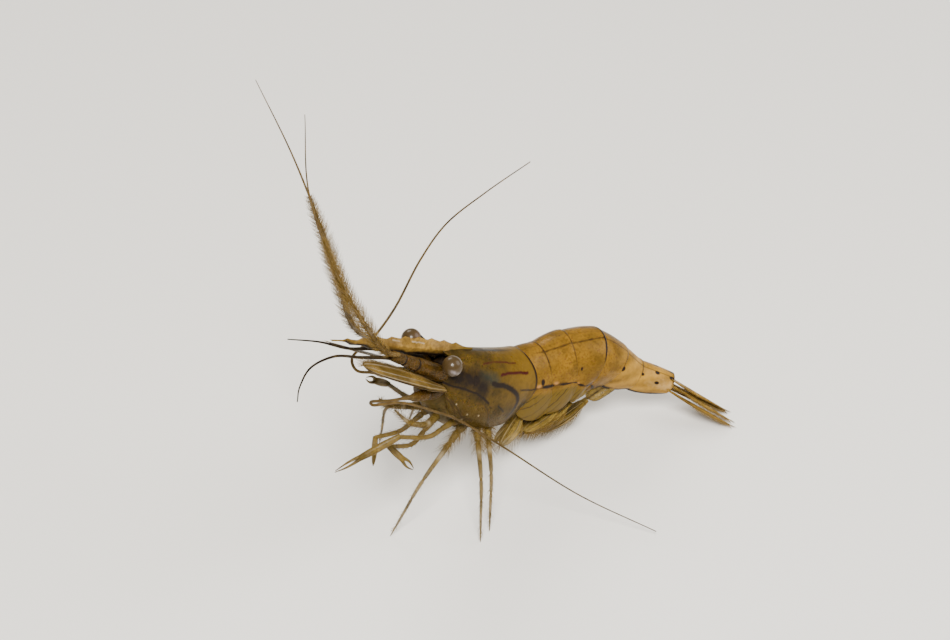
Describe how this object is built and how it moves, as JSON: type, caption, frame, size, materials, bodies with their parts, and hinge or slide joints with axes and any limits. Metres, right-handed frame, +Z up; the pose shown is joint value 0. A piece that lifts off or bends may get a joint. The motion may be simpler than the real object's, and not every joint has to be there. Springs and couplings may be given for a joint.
{
  "type": "glass shrimp (palaemonid), still life-size model",
  "caption": "Still life-size model of a glass shrimp standing on its legs, head raised, tail fan resting on the ground, long feelers swept up and back.",
  "frame": {"origin": "under the middle of the whole animal, at the level of the ground", "axes": "+Z up, head towards -X, the animal's left side towards -Y"},
  "size_m": [0.0446, 0.03, 0.038],
  "materials": {
    "head_shell": "clear horn-like shell, olive brown, glossy, over dark tissue",
    "tail_shell": "clear horn-like shell, amber brown, glossy",
    "under_body": "soft translucent flesh, pale olive, moist",
    "fins": "thin clear blades with brown streaks",
    "feelers": "fine brown feelers, satin",
    "legs": "clear jointed legs, pale olive brown",
    "eye": "black, highly glossy"
  },
  "bodies": {
    "root": {"carapace": "head_shell", "thorax": "under_body", "mouthparts": "under_body", "rostrum": "head_shell", "eyestalk_left": "head_shell", "eye_left": "eye", "eyestalk_right": "head_shell", "eye_right": "eye", "antennule_stem_left": "head_shell", "antennule_outer_left": "feelers", "antennule_inner_left": "feelers", "antennule_stem_right": "head_shell", "antennule_outer_right": "feelers", "antennule_inner_right": "feelers", "antenna_base_left": "head_shell", "antenna_scale_left": "fins", "antenna_left_1": "feelers", "antenna_left_2": "feelers", "antenna_left_3": "feelers", "antenna_base_right": "head_shell", "antenna_scale_right": "fins", "antenna_right_1": "feelers", "antenna_right_2": "feelers", "antenna_right_3": "feelers", "abdomen_1": "tail_shell", "abdomen_2": "tail_shell", "abdomen_3": "tail_shell", "abdomen_4": "tail_shell", "abdomen_5": "tail_shell", "abdomen_6": "tail_shell", "telson": "fins", "uropod_inner_left": "fins", "uropod_outer_left": "fins", "uropod_inner_right": "fins", "uropod_outer_right": "fins", "swimmeret_1_left": "fins", "swimmeret_2_left": "fins", "swimmeret_3_left": "fins", "swimmeret_4_left": "fins", "swimmeret_5_left": "fins", "swimmeret_1_right": "fins", "swimmeret_2_right": "fins", "swimmeret_3_right": "fins", "swimmeret_4_right": "fins", "swimmeret_5_right": "fins", "leg_3_left": "legs", "leg_4_left": "legs", "leg_5_left": "legs", "leg_3_right": "legs", "leg_4_right": "legs", "leg_5_right": "legs", "claw_leg_2_left": "legs", "claw_leg_1_left": "legs", "claw_leg_2_right": "legs", "claw_leg_1_right": "legs", "maxilliped_left": "legs", "maxilliped_right": "legs"}
  },
  "joints": []
}
